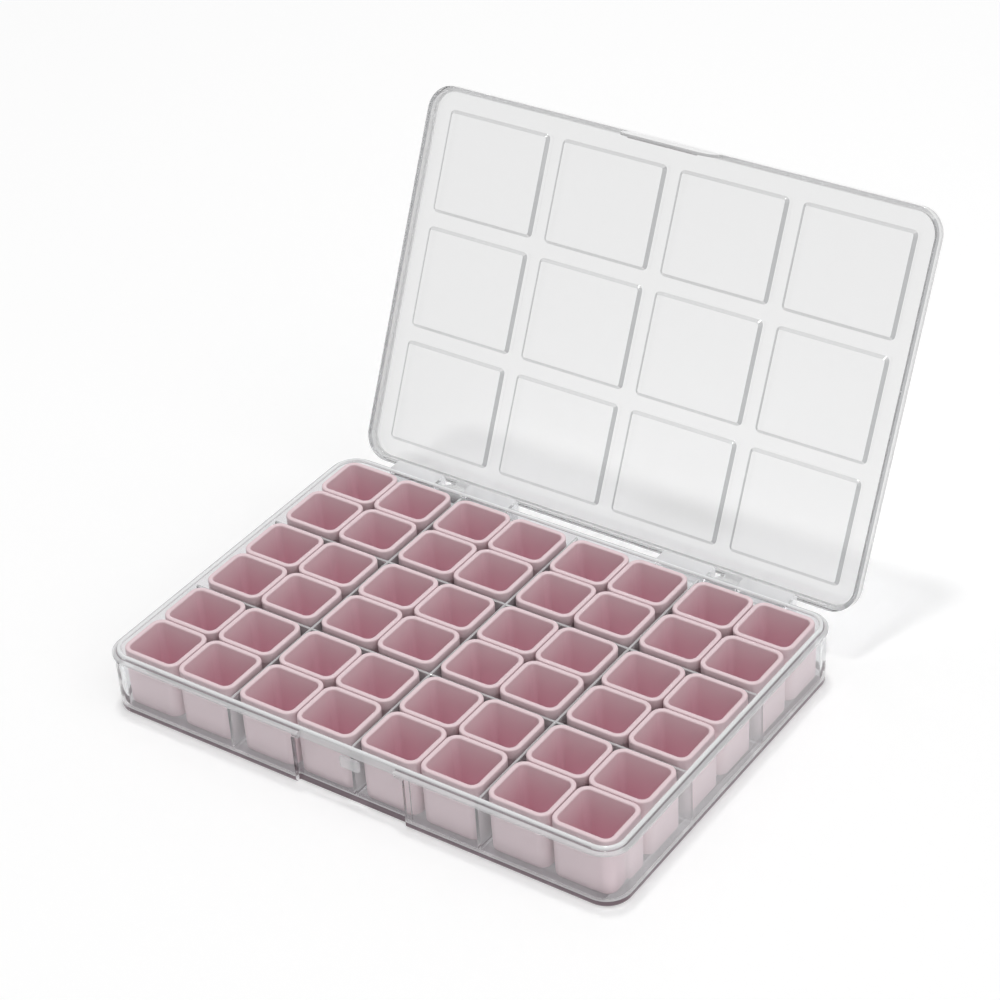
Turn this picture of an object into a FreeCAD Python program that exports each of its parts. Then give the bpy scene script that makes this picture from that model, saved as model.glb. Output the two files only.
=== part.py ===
import FreeCAD, Part
import math
import os

# Compartment storage box, in millimetres: a clear hinged case that holds a grid of lift-out cups.
# X runs along the front, Y from the front to the back, Z up. The origin is the middle of the base.
# The lid is drawn shut and then swung open, so every fit between lid and tray is set once.

# Grid of cups
cup_columns = 8
cup_rows = 6
group_size = 2              # cups side by side between two dividers, both ways
cup_pitch_x = 24.0
cup_pitch_y = 21.5
divider_gap = 2.4           # extra room between two groups
row_letters = "abcdefghijklmnopqrstuvwxyz"

# Cups
cup_spacing = 0.4           # between neighbouring collars
cup_corner = 4.4            # outer corner of the collar, seen from above
cup_flat_count = 4          # flats for each rounded corner
cup_rim = 1.8               # width of the collar's top
cup_collar = 3.8            # height of the collar
cup_overhang = 0.4          # collar beyond the body
cup_step = 0.4              # height of the slope under the collar
cup_draft = 0.3             # each wall leans in by this from the collar to the bottom
cup_bottom = 1.2

# Tray
tray_height = 24.0
floor_thickness = 1.6
block_corner = 5.2          # corner of the outline that just holds the cups
wall_room = 1.5             # between that outline and the inside of the rim
inner_draft = 0.3
rim_thickness = 1.4
rim_height = 1.4            # rim above the lip
rim_chamfer = 0.4
lip_width = 1.8             # lip beyond the rim
lip_thickness = 1.0
lip_chamfer = 0.3
wall_step = 1.2             # top of the outer wall beyond the rim
outer_draft = 0.2
base_chamfer = 1.0
divider_top = 1.0
divider_root = 1.4
divider_drop = 1.8          # top of the dividers below the rim

# Front recess and catch
recess_width = 45.0
recess_depth = 2.2
recess_wall = 1.3           # the wall behind the recess, which steps in with it
recess_drop = 4.0           # top of the recess below the rim
catch_width = 8.0
catch_height = 4.6
catch_drop = 5.4            # top of the catch below the rim
catch_round = 1.2           # corners of the catch, seen from above
catch_clearance = 0.1       # between the catch and the ridge of the tab that passes it

# Lid
lid_height = 4.6
lid_plate = 1.7
lid_chamfer = 0.7
lid_seat = 0.1              # gap between the shut lid and the lip
lid_clearance = 0.2         # between the skirt and the rim
lid_open_angle = 115.0      # degrees from shut to the stop
panel_columns = 4
panel_rows = 3
panel_border = 8.6          # edge of the lid to the first panel
panel_gap = 5.4
panel_step = 1.0            # the panels stand this proud inside
panel_bevel = 1.1
panel_corner = 2.0
panel_flat_count = 2

# Tab of the lid
tab_width = 38.0
tab_reach = 10.0            # below the skirt
tab_thickness = 1.0
tab_corner = 5.0
tab_play = 0.5              # on each side, in the notch of the lip
tab_ridge = 0.4
tab_ridge_height = 1.2

# Hinges
hinge_spacing = 116.0       # from the middle of one hinge to the middle of the other
hinge_length = 53.0
hinge_drop = 7.0            # axis below the rim
hinge_clearance = 0.3       # between turning and fixed faces
pin_radius = 1.1
pin_clearance = 0.06
pin_root = 1.0              # length of the pin inside each cheek
clip_wall = 1.2
clip_width = 11.4
clip_play = 0.4
clip_mouth = 1.9
clip_top_drop = 0.5         # top of the clip's arm below the top of the lid
shelf_reach = 3.4           # back of the shelf behind the axis
shelf_wall = 1.4
stop_thickness = 1.0
stop_clearance = 0.1        # between the clip's arm and the stop, lid open

overrun = 1.0               # how far every cut runs past the face it opens
level_tolerance = 0.04      # edges as near as this to a height count as level with it

# Worked-out sizes
group_pitch_x = group_size * cup_pitch_x + divider_gap
group_pitch_y = group_size * cup_pitch_y + divider_gap
block_x = cup_columns // group_size * group_pitch_x - divider_gap
block_y = cup_rows // group_size * group_pitch_y - divider_gap
rim_margin = wall_room + rim_thickness
lip_margin = rim_margin + lip_width
wall_margin = rim_margin + wall_step
base_margin = wall_margin - outer_draft
recess_margin = base_margin - recess_depth
recess_top = tray_height - recess_drop
lip_top = tray_height - rim_height
lip_bottom = lip_top - lip_thickness
cup_height = tray_height - floor_thickness
lid_bottom = lip_top + lid_seat
lid_top = lid_bottom + lid_height
plate_bottom = lid_top - lid_plate
lid_x = block_x + 2 * lip_margin
lid_y = block_y + 2 * lip_margin
front_face = -lid_y / 2
back_face = lid_y / 2
wall_face = block_y / 2 + wall_margin
clip_bore = pin_radius + pin_clearance
clip_radius = clip_bore + clip_wall
axis_y = back_face + clip_radius + hinge_clearance
axis_z = tray_height - hinge_drop
notch_width = clip_width + 2 * clip_play
edge_sweep = math.hypot(axis_y - back_face, lid_bottom - axis_z)
shelf_radius = edge_sweep - hinge_clearance
shelf_rise = lip_top - axis_z
stop_top = axis_z - clip_radius - stop_clearance
shelf_bottom = stop_top - stop_thickness


def rounded_outline(size_x, size_y, corner, z):
    """Wire of a rectangle with rounded corners, centred on the Z axis at height z."""
    reach_x = size_x / 2 - corner
    reach_y = size_y / 2 - corner
    arcs = []
    for quarter, (side_x, side_y) in enumerate(((1, 1), (-1, 1), (-1, -1), (1, -1))):
        middle = FreeCAD.Vector(side_x * reach_x, side_y * reach_y, z)
        circle = Part.Circle(middle, FreeCAD.Vector(0, 0, 1), corner)
        start = quarter * math.pi / 2
        arcs.append(Part.ArcOfCircle(circle, start, start + math.pi / 2))
    edges = []
    for arc, following in zip(arcs, arcs[1:] + arcs[:1]):
        edges.append(arc.toShape())
        edges.append(Part.makeLine(arc.EndPoint, following.StartPoint))
    return Part.Wire(edges)


def flat_outline(size_x, size_y, corner, flats, z):
    """Points round a rectangle whose corners are a few flats each, which keeps what repeats light."""
    reach_x = size_x / 2 - corner
    reach_y = size_y / 2 - corner
    points = []
    for quarter, (side_x, side_y) in enumerate(((1, 1), (-1, 1), (-1, -1), (1, -1))):
        for step in range(flats + 1):
            turn = (quarter + step / flats) * math.pi / 2
            points.append(FreeCAD.Vector(side_x * reach_x + corner * math.cos(turn),
                                         side_y * reach_y + corner * math.sin(turn), z))
    return points


def ring_outline(margin, z):
    """Outline of the case, at a margin outside the block of cups."""
    return rounded_outline(block_x + 2 * margin, block_y + 2 * margin, block_corner + margin, z)


def closed(points):
    """Closed wire through a list of points."""
    return Part.makePolygon(points + points[:1])


def prism(outline, vector):
    """Solid swept straight from a closed outline."""
    return Part.Face(outline).extrude(vector)


def upright(outline, height):
    """Solid of a given height over a level outline."""
    return prism(outline, FreeCAD.Vector(0, 0, height))


def drafted_block(bottom_x, bottom_y, top_x, top_y, z0, z1):
    """Block with leaning sides, centred on the Z axis between two heights."""
    block = Part.makeWedge(-bottom_x / 2, z0, -bottom_y / 2, -top_y / 2, -top_x / 2,
                           bottom_x / 2, z1, bottom_y / 2, top_y / 2, top_x / 2)
    block.rotate(FreeCAD.Vector(0, 0, 0), FreeCAD.Vector(1, 0, 0), 90)
    return block


def drafted_ring(bottom_margin, top_margin, z0, z1):
    """Block with leaning sides whose margins outside the block of cups are given at two heights."""
    return drafted_block(block_x + 2 * bottom_margin, block_y + 2 * bottom_margin,
                         block_x + 2 * top_margin, block_y + 2 * top_margin, z0, z1)


def round_corners(shape, radius):
    """Round the upright edges of a block."""
    return shape.makeFillet(radius, [edge for edge in shape.Edges if edge.BoundBox.ZLength > radius])


def faceted(*outlines):
    """Solid with flat sides through several outlines, each a list of as many points."""
    faces = [Part.Face(closed(outlines[0])), Part.Face(closed(outlines[-1]))]
    for lower, upper in zip(outlines, outlines[1:]):
        for index in range(len(lower)):
            faces.append(Part.Face(closed([lower[index - 1], lower[index], upper[index], upper[index - 1]])))
    shell = Part.makeShell(faces)
    shell.sewShape()
    return Part.makeSolid(shell)


def box(x0, x1, y0, y1, z0, z1):
    """Block between two opposite corners."""
    return Part.makeBox(x1 - x0, y1 - y0, z1 - z0, FreeCAD.Vector(x0, y0, z0))


def side_profile(points, x0, x1):
    """Solid with a polygon of (y, z) points as its section, from x0 to x1."""
    outline = closed([FreeCAD.Vector(x0, y, z) for y, z in points])
    return prism(outline, FreeCAD.Vector(x1 - x0, 0, 0))


def level_edges(shape, z):
    """Edges of a solid that lie at one height."""
    return [edge for edge in shape.Edges
            if math.isclose(edge.BoundBox.ZMin, z, abs_tol=level_tolerance)
            and math.isclose(edge.BoundBox.ZMax, z, abs_tol=level_tolerance)]


def grid_place(index, count, pitch):
    """Middle of a cup along one side of the grid, with the dividers' extra room."""
    offset = index * pitch + index // group_size * divider_gap
    last = (count - 1) * pitch + (count - 1) // group_size * divider_gap
    return offset - last / 2


def cup_outline(inset, z):
    """Points round a cup, an inset inside its collar."""
    size_x = cup_pitch_x - cup_spacing - 2 * inset
    size_y = cup_pitch_y - cup_spacing - 2 * inset
    return flat_outline(size_x, size_y, cup_corner - inset, cup_flat_count, z)


def make_cup():
    """Cup with a collar and a drafted body, open at the top, standing on z = 0."""
    shoulder = cup_height - cup_collar
    outside = faceted(cup_outline(cup_overhang + cup_draft, 0),
                      cup_outline(cup_overhang, shoulder - cup_step),
                      cup_outline(0, shoulder), cup_outline(0, cup_height))
    inside = faceted(cup_outline(cup_rim + cup_draft, cup_bottom), cup_outline(cup_rim, cup_height),
                     cup_outline(cup_rim, cup_height + overrun))
    return outside.cut(inside)


def make_shell():
    """Walls, floor, lip and rim of the tray, without what is moulded onto them."""
    wall = round_corners(drafted_ring(base_margin, wall_margin, 0, lip_bottom), block_corner + wall_margin)
    wall = wall.makeChamfer(base_chamfer, level_edges(wall, 0))
    lip = upright(ring_outline(lip_margin, lip_bottom), lip_thickness)
    lip = lip.makeChamfer(lip_chamfer, level_edges(lip, lip_top) + level_edges(lip, lip_bottom))
    rim = upright(ring_outline(rim_margin, lip_bottom), tray_height - lip_bottom)
    rim = rim.makeChamfer(rim_chamfer, level_edges(rim, tray_height))
    cavity = drafted_ring(wall_room - inner_draft, wall_room, floor_thickness, tray_height + overrun)
    return wall.fuse([lip, rim]).cut(round_corners(cavity, block_corner + wall_room))


def make_dividers():
    """Drafted dividers between the groups of cups, from wall to wall."""
    bottom = floor_thickness / 2
    top = tray_height - divider_drop
    reach_x = block_x / 2 + wall_room + rim_thickness / 2
    reach_y = block_y / 2 + wall_room + rim_thickness / 2
    section = ((-divider_root / 2, bottom), (divider_root / 2, bottom),
               (divider_top / 2, top), (-divider_top / 2, top))
    along_x = side_profile(section, -reach_x, reach_x)
    along_y = side_profile(section, -reach_y, reach_y)
    along_y.rotate(FreeCAD.Vector(0, 0, 0), FreeCAD.Vector(0, 0, 1), 90)
    walls = []
    for index in range(1, cup_rows // group_size):
        y = index * group_pitch_y - block_y / 2 - divider_gap / 2
        walls.append(along_x.translated(FreeCAD.Vector(0, y, 0)))
    for index in range(1, cup_columns // group_size):
        x = index * group_pitch_x - block_x / 2 - divider_gap / 2
        walls.append(along_y.translated(FreeCAD.Vector(x, 0, 0)))
    return walls


def make_recess_cut():
    """What is taken off the front wall: the recess, and the notch of the lip that the tab fills."""
    front = front_face - overrun
    kept = drafted_ring(recess_margin, wall_margin - recess_depth, 0, lip_bottom)
    recess = box(-recess_width / 2, recess_width / 2, front, 0, 0, recess_top).cut(kept)
    half = tab_width / 2 + tab_play
    notch = box(-half, half, front, -block_y / 2 - rim_margin, recess_top, lip_top)
    return recess.fuse(notch)


def make_recess_back():
    """Inside of the front wall behind the recess, where the wall steps in."""
    half = recess_width / 2 + recess_wall
    return box(-half, half, -block_y / 2 - rim_margin, -block_y / 2 - recess_margin + recess_wall,
               floor_thickness / 2, recess_top + recess_wall)


def make_catch():
    """Rounded catch on the back of the recess, with its crest just short of the tab's ridge."""
    crest = front_face + tab_thickness + tab_ridge + catch_clearance
    root = -block_y / 2 - recess_margin + recess_wall / 2
    top = tray_height - catch_drop
    bottom = top - catch_height
    curve = Part.Arc(FreeCAD.Vector(0, root, top), FreeCAD.Vector(0, crest, (top + bottom) / 2),
                     FreeCAD.Vector(0, root, bottom)).toShape()
    chord = Part.makeLine(FreeCAD.Vector(0, root, bottom), FreeCAD.Vector(0, root, top))
    bump = prism(Part.Wire([curve, chord]), FreeCAD.Vector(catch_width, 0, 0))
    bump.translate(FreeCAD.Vector(-catch_width / 2, 0, 0))
    plan = rounded_outline(catch_width, 2 * (root - crest), catch_round, bottom)
    plan.translate(FreeCAD.Vector(0, root, 0))
    return bump.common(upright(plan, catch_height))


def make_shelf():
    """One hinge shelf with its middle at x = 0: two hollow halves, the pin between, the stop below."""
    root = wall_face - rim_thickness / 2
    back = axis_y + shelf_reach
    front_turn = math.asin(shelf_rise / shelf_radius)
    back_turn = math.acos(shelf_reach / shelf_radius)
    nose = [FreeCAD.Vector(0, axis_y + shelf_radius * math.cos(turn), axis_z + shelf_radius * math.sin(turn))
            for turn in (front_turn, (front_turn + back_turn) / 2, back_turn)]
    rest = Part.makePolygon([nose[2],
                             FreeCAD.Vector(0, back, shelf_bottom),
                             FreeCAD.Vector(0, root, shelf_bottom),
                             FreeCAD.Vector(0, root, lip_top),
                             nose[0]])
    outline = Part.Wire([Part.Arc(*nose).toShape()] + rest.Edges)
    half = prism(outline, FreeCAD.Vector((hinge_length - notch_width) / 2, 0, 0))
    half.translate(FreeCAD.Vector(notch_width / 2, 0, 0))
    pocket = box(notch_width / 2 + shelf_wall, hinge_length / 2 - shelf_wall,
                 wall_face, back - shelf_wall, shelf_bottom - overrun, lip_bottom - shelf_wall)
    half = half.cut(pocket)
    pin_length = notch_width + 2 * pin_root
    pin = Part.makeCylinder(pin_radius, pin_length, FreeCAD.Vector(-pin_length / 2, axis_y, axis_z),
                            FreeCAD.Vector(1, 0, 0))
    stop = box(-notch_width / 2, notch_width / 2, root, back, shelf_bottom, stop_top)
    return half.fuse([half.mirror(FreeCAD.Vector(0, 0, 0), FreeCAD.Vector(1, 0, 0)), pin, stop])


def make_tray():
    """Tray as one moulding."""
    shelf = make_shelf()
    shelves = [shelf.translated(FreeCAD.Vector(side * hinge_spacing / 2, 0, 0)) for side in (-1, 1)]
    walls = make_shell().fuse(make_dividers() + [make_recess_back()]).cut(make_recess_cut())
    return walls.fuse(shelves + [make_catch()]).removeSplitter()


def make_panels():
    """Pads with bevelled edges that stand out of the inside of the lid's plate."""
    size_x = (lid_x - 2 * panel_border - (panel_columns - 1) * panel_gap) / panel_columns
    size_y = (lid_y - 2 * panel_border - (panel_rows - 1) * panel_gap) / panel_rows

    def outline(inset, z):
        return flat_outline(size_x - 2 * inset, size_y - 2 * inset,
                            panel_corner - inset, panel_flat_count, z)

    panel = faceted(outline(panel_bevel, plate_bottom - panel_step), outline(0, plate_bottom),
                    outline(0, plate_bottom + lid_plate / 2))
    panels = []
    for column in range(panel_columns):
        for row in range(panel_rows):
            x = (column - (panel_columns - 1) / 2) * (size_x + panel_gap)
            y = (row - (panel_rows - 1) / 2) * (size_y + panel_gap)
            panels.append(panel.translated(FreeCAD.Vector(x, y, 0)))
    return panels


def make_plate():
    """Plate and skirt of the lid, with the panels inside."""
    outside = upright(ring_outline(lip_margin, lid_bottom), lid_height)
    outside = outside.makeChamfer(lid_chamfer, level_edges(outside, lid_top))
    inside = upright(ring_outline(rim_margin + lid_clearance, lid_bottom - overrun),
                     plate_bottom - lid_bottom + overrun)
    return outside.cut(inside).fuse(make_panels())


def make_tab():
    """Front tab: a rounded plate flush with the lid's front, with a ridge that passes the catch."""
    tab_bottom = lid_bottom - tab_reach
    height = tab_reach + (plate_bottom - lid_bottom)
    outline = rounded_outline(tab_width, 2 * height, tab_corner, 0)
    plate = upright(outline, tab_thickness)
    plate.rotate(FreeCAD.Vector(0, 0, 0), FreeCAD.Vector(1, 0, 0), 90)
    plate.translate(FreeCAD.Vector(0, front_face + tab_thickness, plate_bottom))
    plate = plate.common(box(-tab_width, tab_width, front_face, 0, tab_bottom, plate_bottom))
    inner = front_face + tab_thickness
    ridge_top = tab_bottom + tab_ridge_height
    half = tab_width / 2 - tab_corner
    ridge = side_profile(((inner, tab_bottom), (inner + tab_ridge, tab_bottom + tab_ridge_height / 2),
                          (inner, ridge_top), (front_face, ridge_top), (front_face, tab_bottom)), -half, half)
    return plate.fuse(ridge)


def make_clip():
    """Hinge clip of the lid: a split ring on the pin, and an arm whose back meets the stop."""
    turn = math.radians(lid_open_angle)
    arm_top = lid_top - clip_top_drop
    touch_y = axis_y + clip_radius * math.sin(turn)
    touch_z = axis_z - clip_radius * math.cos(turn)
    lean = (arm_top - touch_z) / math.tan(turn)
    root = back_face - (lip_margin - rim_margin - lid_clearance) / 2
    arm = side_profile(((axis_y, axis_z), (touch_y, touch_z), (touch_y + lean, arm_top), (root, arm_top),
                        (root, lid_bottom), (axis_y - clip_radius, lid_bottom),
                        (axis_y - clip_radius, axis_z)), -clip_width / 2, clip_width / 2)
    start = FreeCAD.Vector(-clip_width / 2, axis_y, axis_z)
    along = FreeCAD.Vector(1, 0, 0)
    ring = Part.makeCylinder(clip_radius, clip_width, start, along)
    bore = Part.makeCylinder(clip_bore, clip_width + 2 * overrun, start - along * overrun, along)
    mouth = box(-clip_width / 2 - overrun, clip_width / 2 + overrun, axis_y, axis_y + clip_radius + overrun,
                axis_z - clip_mouth / 2, axis_z + clip_mouth / 2)
    return arm.fuse(ring).cut(bore).cut(mouth)


def make_lid():
    """Lid as one moulding, swung open on the hinge axis."""
    clip = make_clip()
    clips = [clip.translated(FreeCAD.Vector(side * hinge_spacing / 2, 0, 0)) for side in (-1, 1)]
    lid = make_plate().fuse([make_tab()] + clips).removeSplitter()
    lid.rotate(FreeCAD.Vector(0, axis_y, axis_z), FreeCAD.Vector(1, 0, 0), -lid_open_angle)
    return lid


def make_nodes():
    """Every piece of the box by name, in its place with the lid open."""
    nodes = {"tray": make_tray(), "lid": make_lid()}
    cup = make_cup()
    for row in range(cup_rows):
        for column in range(cup_columns):
            place = FreeCAD.Vector(grid_place(column, cup_columns, cup_pitch_x),
                                   grid_place(row, cup_rows, cup_pitch_y), floor_thickness)
            nodes["cup_%s%d" % (row_letters[row], column + 1)] = cup.translated(place)
    return nodes


os.makedirs("parts", exist_ok=True)
for name, shape in make_nodes().items():
    shape.exportStep("parts/%s.step" % name)
print("hinge axis: y %.3f, z %.3f" % (axis_y, axis_z))
print("lid outline: %.1f x %.1f" % (lid_x, lid_y))
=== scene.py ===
"""Looks of the compartment storage box: a clear hinged case with a grid of loose pink cups."""

import logging
import math
from dataclasses import dataclass, replace
from enum import Enum
from typing import Callable, Optional, Sequence

import bpy
from mathutils import Matrix, Quaternion, Vector


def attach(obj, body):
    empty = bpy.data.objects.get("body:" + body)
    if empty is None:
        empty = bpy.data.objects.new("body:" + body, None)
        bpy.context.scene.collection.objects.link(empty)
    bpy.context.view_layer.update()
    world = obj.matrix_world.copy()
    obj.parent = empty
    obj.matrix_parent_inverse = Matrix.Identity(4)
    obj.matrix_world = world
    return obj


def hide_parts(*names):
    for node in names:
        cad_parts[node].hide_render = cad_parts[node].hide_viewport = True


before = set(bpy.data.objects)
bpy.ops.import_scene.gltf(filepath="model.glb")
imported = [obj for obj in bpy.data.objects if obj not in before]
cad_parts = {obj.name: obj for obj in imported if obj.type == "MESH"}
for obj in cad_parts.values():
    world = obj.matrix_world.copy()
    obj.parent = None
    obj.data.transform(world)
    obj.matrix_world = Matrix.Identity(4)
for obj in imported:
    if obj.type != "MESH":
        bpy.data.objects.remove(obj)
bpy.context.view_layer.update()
LOG = logging.getLogger("storage_box")

# Lengths are in millimetres, here and in every class.
MM = 0.001  # metres in one millimetre
OVERRUN = 1.0  # how far a cutting solid reaches past what it cuts
BRIDGE_RISE = 20.0  # how far above the last ring the next one is drawn
SLACK = 0.002  # room for rounding where two places are compared
WELD = 0.01  # points nearer than this become one after a cut
ON_FACE = 0.1  # an edge this near to a face of its block lies on it
BITE = 0.05  # how far a solid is kept off a face that it would share with another
ALONG = 0.9  # a direction runs along an axis when its part on that axis is over this
FLAT_START = 2.0  # a flat face starts this many radii in from its rounded edge
SMOOTH_ANGLE = 40.0  # edges that turn by fewer degrees than this are shaded smooth
MIX_A, MIX_B, MIX_OUT = 6, 7, 2  # colour sockets of a Mix node

Place = tuple[float, float, float]
Profile = list[tuple[float, float]]
Test = Callable[[Vector, Vector], bool]
Piece = bpy.types.Object


class Cut(Enum):
    """How one solid is worked into another."""

    JOIN = "UNION"
    TAKE_OFF = "DIFFERENCE"


class Side(Enum):
    """The two sides of the case, seen from the front."""

    LEFT = -1
    RIGHT = 1


class Part(Enum):
    """Kinds of mesh element that can be selected."""

    EDGE = "EDGE"
    FACE = "FACE"


@dataclass(frozen=True)
class Ring:
    """A level rectangle with rounded corners, in millimetres, centred on the Z axis."""

    half_x: float
    half_y: float
    corner: float
    z: float


@dataclass(frozen=True)
class CaseOutline:
    """Outline that just holds the block of cups. Every ring of the case is a margin outside it."""

    size_x: float = 199.2
    size_y: float = 133.8
    corner: float = 5.2

    def ring(self, margin: float, z: float) -> Ring:
        """Ring at a margin outside the block, at a height."""
        return Ring(self.size_x / 2 + margin, self.size_y / 2 + margin, self.corner + margin, z)

    def rings(self, profile: Profile) -> list[Ring]:
        """Rings for a profile of (margin, height) points."""
        return [self.ring(margin, z) for margin, z in profile]

    def margin_at(self, point: Vector) -> float:
        """How far a point is outside the block of cups."""
        past_x = abs(point.x) - self.size_x / 2 + self.corner
        past_y = abs(point.y) - self.size_y / 2 + self.corner
        past = math.hypot(past_x, past_y) if min(past_x, past_y) > 0 else max(past_x, past_y)
        return past - self.corner

    def faces_out(self, point: Vector, way: Vector) -> bool:
        """Whether a face looks away from the middle of the case."""
        return (way.x * point.x if self.on_side(point) else way.y * point.y) > 0

    def on_side(self, point: Vector) -> bool:
        """Whether a point is nearer to the left or right of the case than to its front or back."""
        return abs(point.x) - self.size_x / 2 > abs(point.y) - self.size_y / 2


def metres(*lengths: float) -> tuple[float, ...]:
    """Lengths in millimetres, turned to metres."""
    return tuple(length * MM for length in lengths)


def linear(code: str) -> tuple[float, float, float, float]:
    """Turn an sRGB hex colour to linear light.

    Args:
        code: Six hex digits.

    Returns:
        Red, green, blue and an alpha of one.
    """
    shares = [int(code[start:start + 2], 16) / 255 for start in (0, 2, 4)]
    # These are the constants of the sRGB standard.
    light = [share / 12.92 if share <= 0.04045 else ((share + 0.055) / 1.055) ** 2.4 for share in shares]
    return (light[0], light[1], light[2], 1.0)


def set_mode(mode: str) -> None:
    """Go to object mode or to edit mode."""
    bpy.ops.object.mode_set(mode=mode)


def deselect() -> None:
    """Leave edit mode and deselect every object."""
    if bpy.context.object is not None and bpy.context.object.mode != "OBJECT":
        set_mode("OBJECT")
    bpy.ops.object.select_all(action="DESELECT")


def make_active(piece: Piece) -> None:
    """Select one object alone and make it the active one."""
    deselect()
    piece.select_set(True)
    bpy.context.view_layer.objects.active = piece


def select(piece: Piece, part: Part, test: Test) -> None:
    """Select elements of a mesh by place and direction, and stay in edit mode.

    Args:
        piece: The active object.
        part: Kind of element that is selected.
        test: Gets an element's middle in millimetres and its direction, and says whether it is taken.
    """
    set_mode("EDIT")
    bpy.ops.mesh.select_mode(type=part.value)
    bpy.ops.mesh.select_all(action="DESELECT")
    set_mode("OBJECT")
    mesh = piece.data
    if part is Part.EDGE:
        for edge in mesh.edges:
            first, last = (mesh.vertices[index].co for index in edge.vertices)
            edge.select = test((first + last) / (2 * MM), (last - first).normalized())
    else:
        for face in mesh.polygons:
            face.select = test(face.center / MM, face.normal)
    set_mode("EDIT")


def select_rings(piece: Piece, count: int, *numbers: int) -> None:
    """Select whole rings of a lofted mesh, each of a number of vertices, and stay in edit mode."""
    bpy.ops.mesh.select_mode(type="VERT")
    bpy.ops.mesh.select_all(action="DESELECT")
    set_mode("OBJECT")
    for number in numbers:
        for vertex in piece.data.vertices[number * count:(number + 1) * count]:
            vertex.select = True
    set_mode("EDIT")


def add_ring(ring: Ring, steps: int) -> None:
    """Draw one ring of edges: a plane at its size and place, its corners rounded and its face taken out."""
    middle = (0.0, 0.0, ring.z * MM)
    if bpy.context.mode == "OBJECT":
        bpy.ops.mesh.primitive_plane_add(size=2, location=(0, 0, 0), enter_editmode=True)
        bpy.ops.transform.translate(value=middle)
    else:
        bpy.ops.mesh.select_all(action="DESELECT")
        bpy.ops.mesh.primitive_plane_add(size=2, location=middle)
    bpy.ops.transform.resize(value=(ring.half_x * MM, ring.half_y * MM, 1), center_override=middle)
    bpy.ops.mesh.bevel(offset=ring.corner * MM, segments=steps, affect="VERTICES", clamp_overlap=False)
    bpy.ops.mesh.delete(type="ONLY_FACE")


def loft(name: str, rings: Sequence[Ring], steps: int) -> Piece:
    """Closed shell through a row of rings, with a flat face on the first and the last.

    Args:
        name: Name of the new object.
        rings: Rings in order along the shell.
        steps: Segments of each rounded corner.

    Returns:
        The new object, in object mode.
    """
    deselect()
    add_ring(rings[0], steps)
    piece = bpy.context.object
    piece.name = name
    set_mode("OBJECT")
    count = len(piece.data.vertices)
    set_mode("EDIT")
    for number, ring in enumerate(rings[1:], start=1):
        # A bridge between two rings at one height can twist, so each ring is drawn high and then let down.
        drawn = replace(ring, z=rings[number - 1].z + BRIDGE_RISE)
        add_ring(drawn, steps)
        select_rings(piece, count, number - 1, number)
        bpy.ops.mesh.bridge_edge_loops()
        select_rings(piece, count, number)
        bpy.ops.transform.translate(value=(0, 0, (ring.z - drawn.z) * MM))
    for number in (0, len(rings) - 1):
        select_rings(piece, count, number)
        bpy.ops.mesh.edge_face_add()
    bpy.ops.mesh.select_all(action="SELECT")
    bpy.ops.mesh.normals_make_consistent(inside=False)
    set_mode("OBJECT")
    return piece


def rounded(points: Sequence[tuple[float, float, float]], steps: int = 4) -> Profile:
    """Round the corners of an open profile.

    Args:
        points: (margin, height, radius) of each corner; a radius of zero keeps the corner.
        steps: Segments of each rounded corner.

    Returns:
        The (margin, height) points of the rounded profile.
    """
    profile: Profile = []
    for index, (margin, z, radius) in enumerate(points):
        here = Vector((margin, z))
        if radius == 0:
            profile.append((margin, z))
            continue
        back = (Vector(points[index - 1][:2]) - here).normalized()
        ahead = (Vector(points[index + 1][:2]) - here).normalized()
        half = back.angle(ahead) / 2
        middle = here + (back + ahead).normalized() * (radius / math.sin(half))
        start = here + back * (radius / math.tan(half)) - middle
        end = here + ahead * (radius / math.tan(half)) - middle
        sweep = start.angle(end)
        for step in range(steps + 1):
            share = step / steps
            spoke = (start * math.sin((1 - share) * sweep) + end * math.sin(share * sweep)) / math.sin(sweep)
            profile.append(tuple(middle + spoke))
    return profile


def block(name: str, low: Place, high: Place) -> Piece:
    """Cube between two opposite corners in millimetres, as a start for shaping."""
    deselect()
    bpy.ops.mesh.primitive_cube_add(size=1, location=(0, 0, 0), enter_editmode=True)
    size = metres(*(top - bottom for bottom, top in zip(low, high)))
    middle = metres(*((top + bottom) / 2 for bottom, top in zip(low, high)))
    bpy.ops.transform.resize(value=size, center_override=(0, 0, 0))
    bpy.ops.transform.translate(value=middle)
    set_mode("OBJECT")
    bpy.context.object.name = name
    return bpy.context.object


def rod(name: str, middle: Place, radius: float, length: float, sides: int) -> Piece:
    """Cylinder along X, in millimetres, as a start for shaping."""
    deselect()
    bpy.ops.mesh.primitive_cylinder_add(vertices=sides, radius=radius * MM, depth=length * MM,
                                        location=metres(*middle), rotation=(0, math.pi / 2, 0))
    apply_place(bpy.context.object)
    bpy.context.object.name = name
    return bpy.context.object


def apply_place(piece: Piece) -> None:
    """Write the place and the turn of a piece into its mesh."""
    make_active(piece)
    bpy.ops.object.transform_apply(location=True, rotation=True, scale=True)


def shift(piece: Piece, by: Place) -> None:
    """Move a whole piece by a distance in millimetres, in its mesh."""
    make_active(piece)
    bpy.ops.transform.translate(value=metres(*by))
    apply_place(piece)


def soften(piece: Piece, test: Test, radius: float, steps: int) -> None:
    """Round the edges of a solid that pass a test of their middle and direction."""
    make_active(piece)
    select(piece, Part.EDGE, test)
    bpy.ops.mesh.bevel(offset=radius * MM, segments=steps, affect="EDGES", clamp_overlap=False)
    set_mode("OBJECT")


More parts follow.
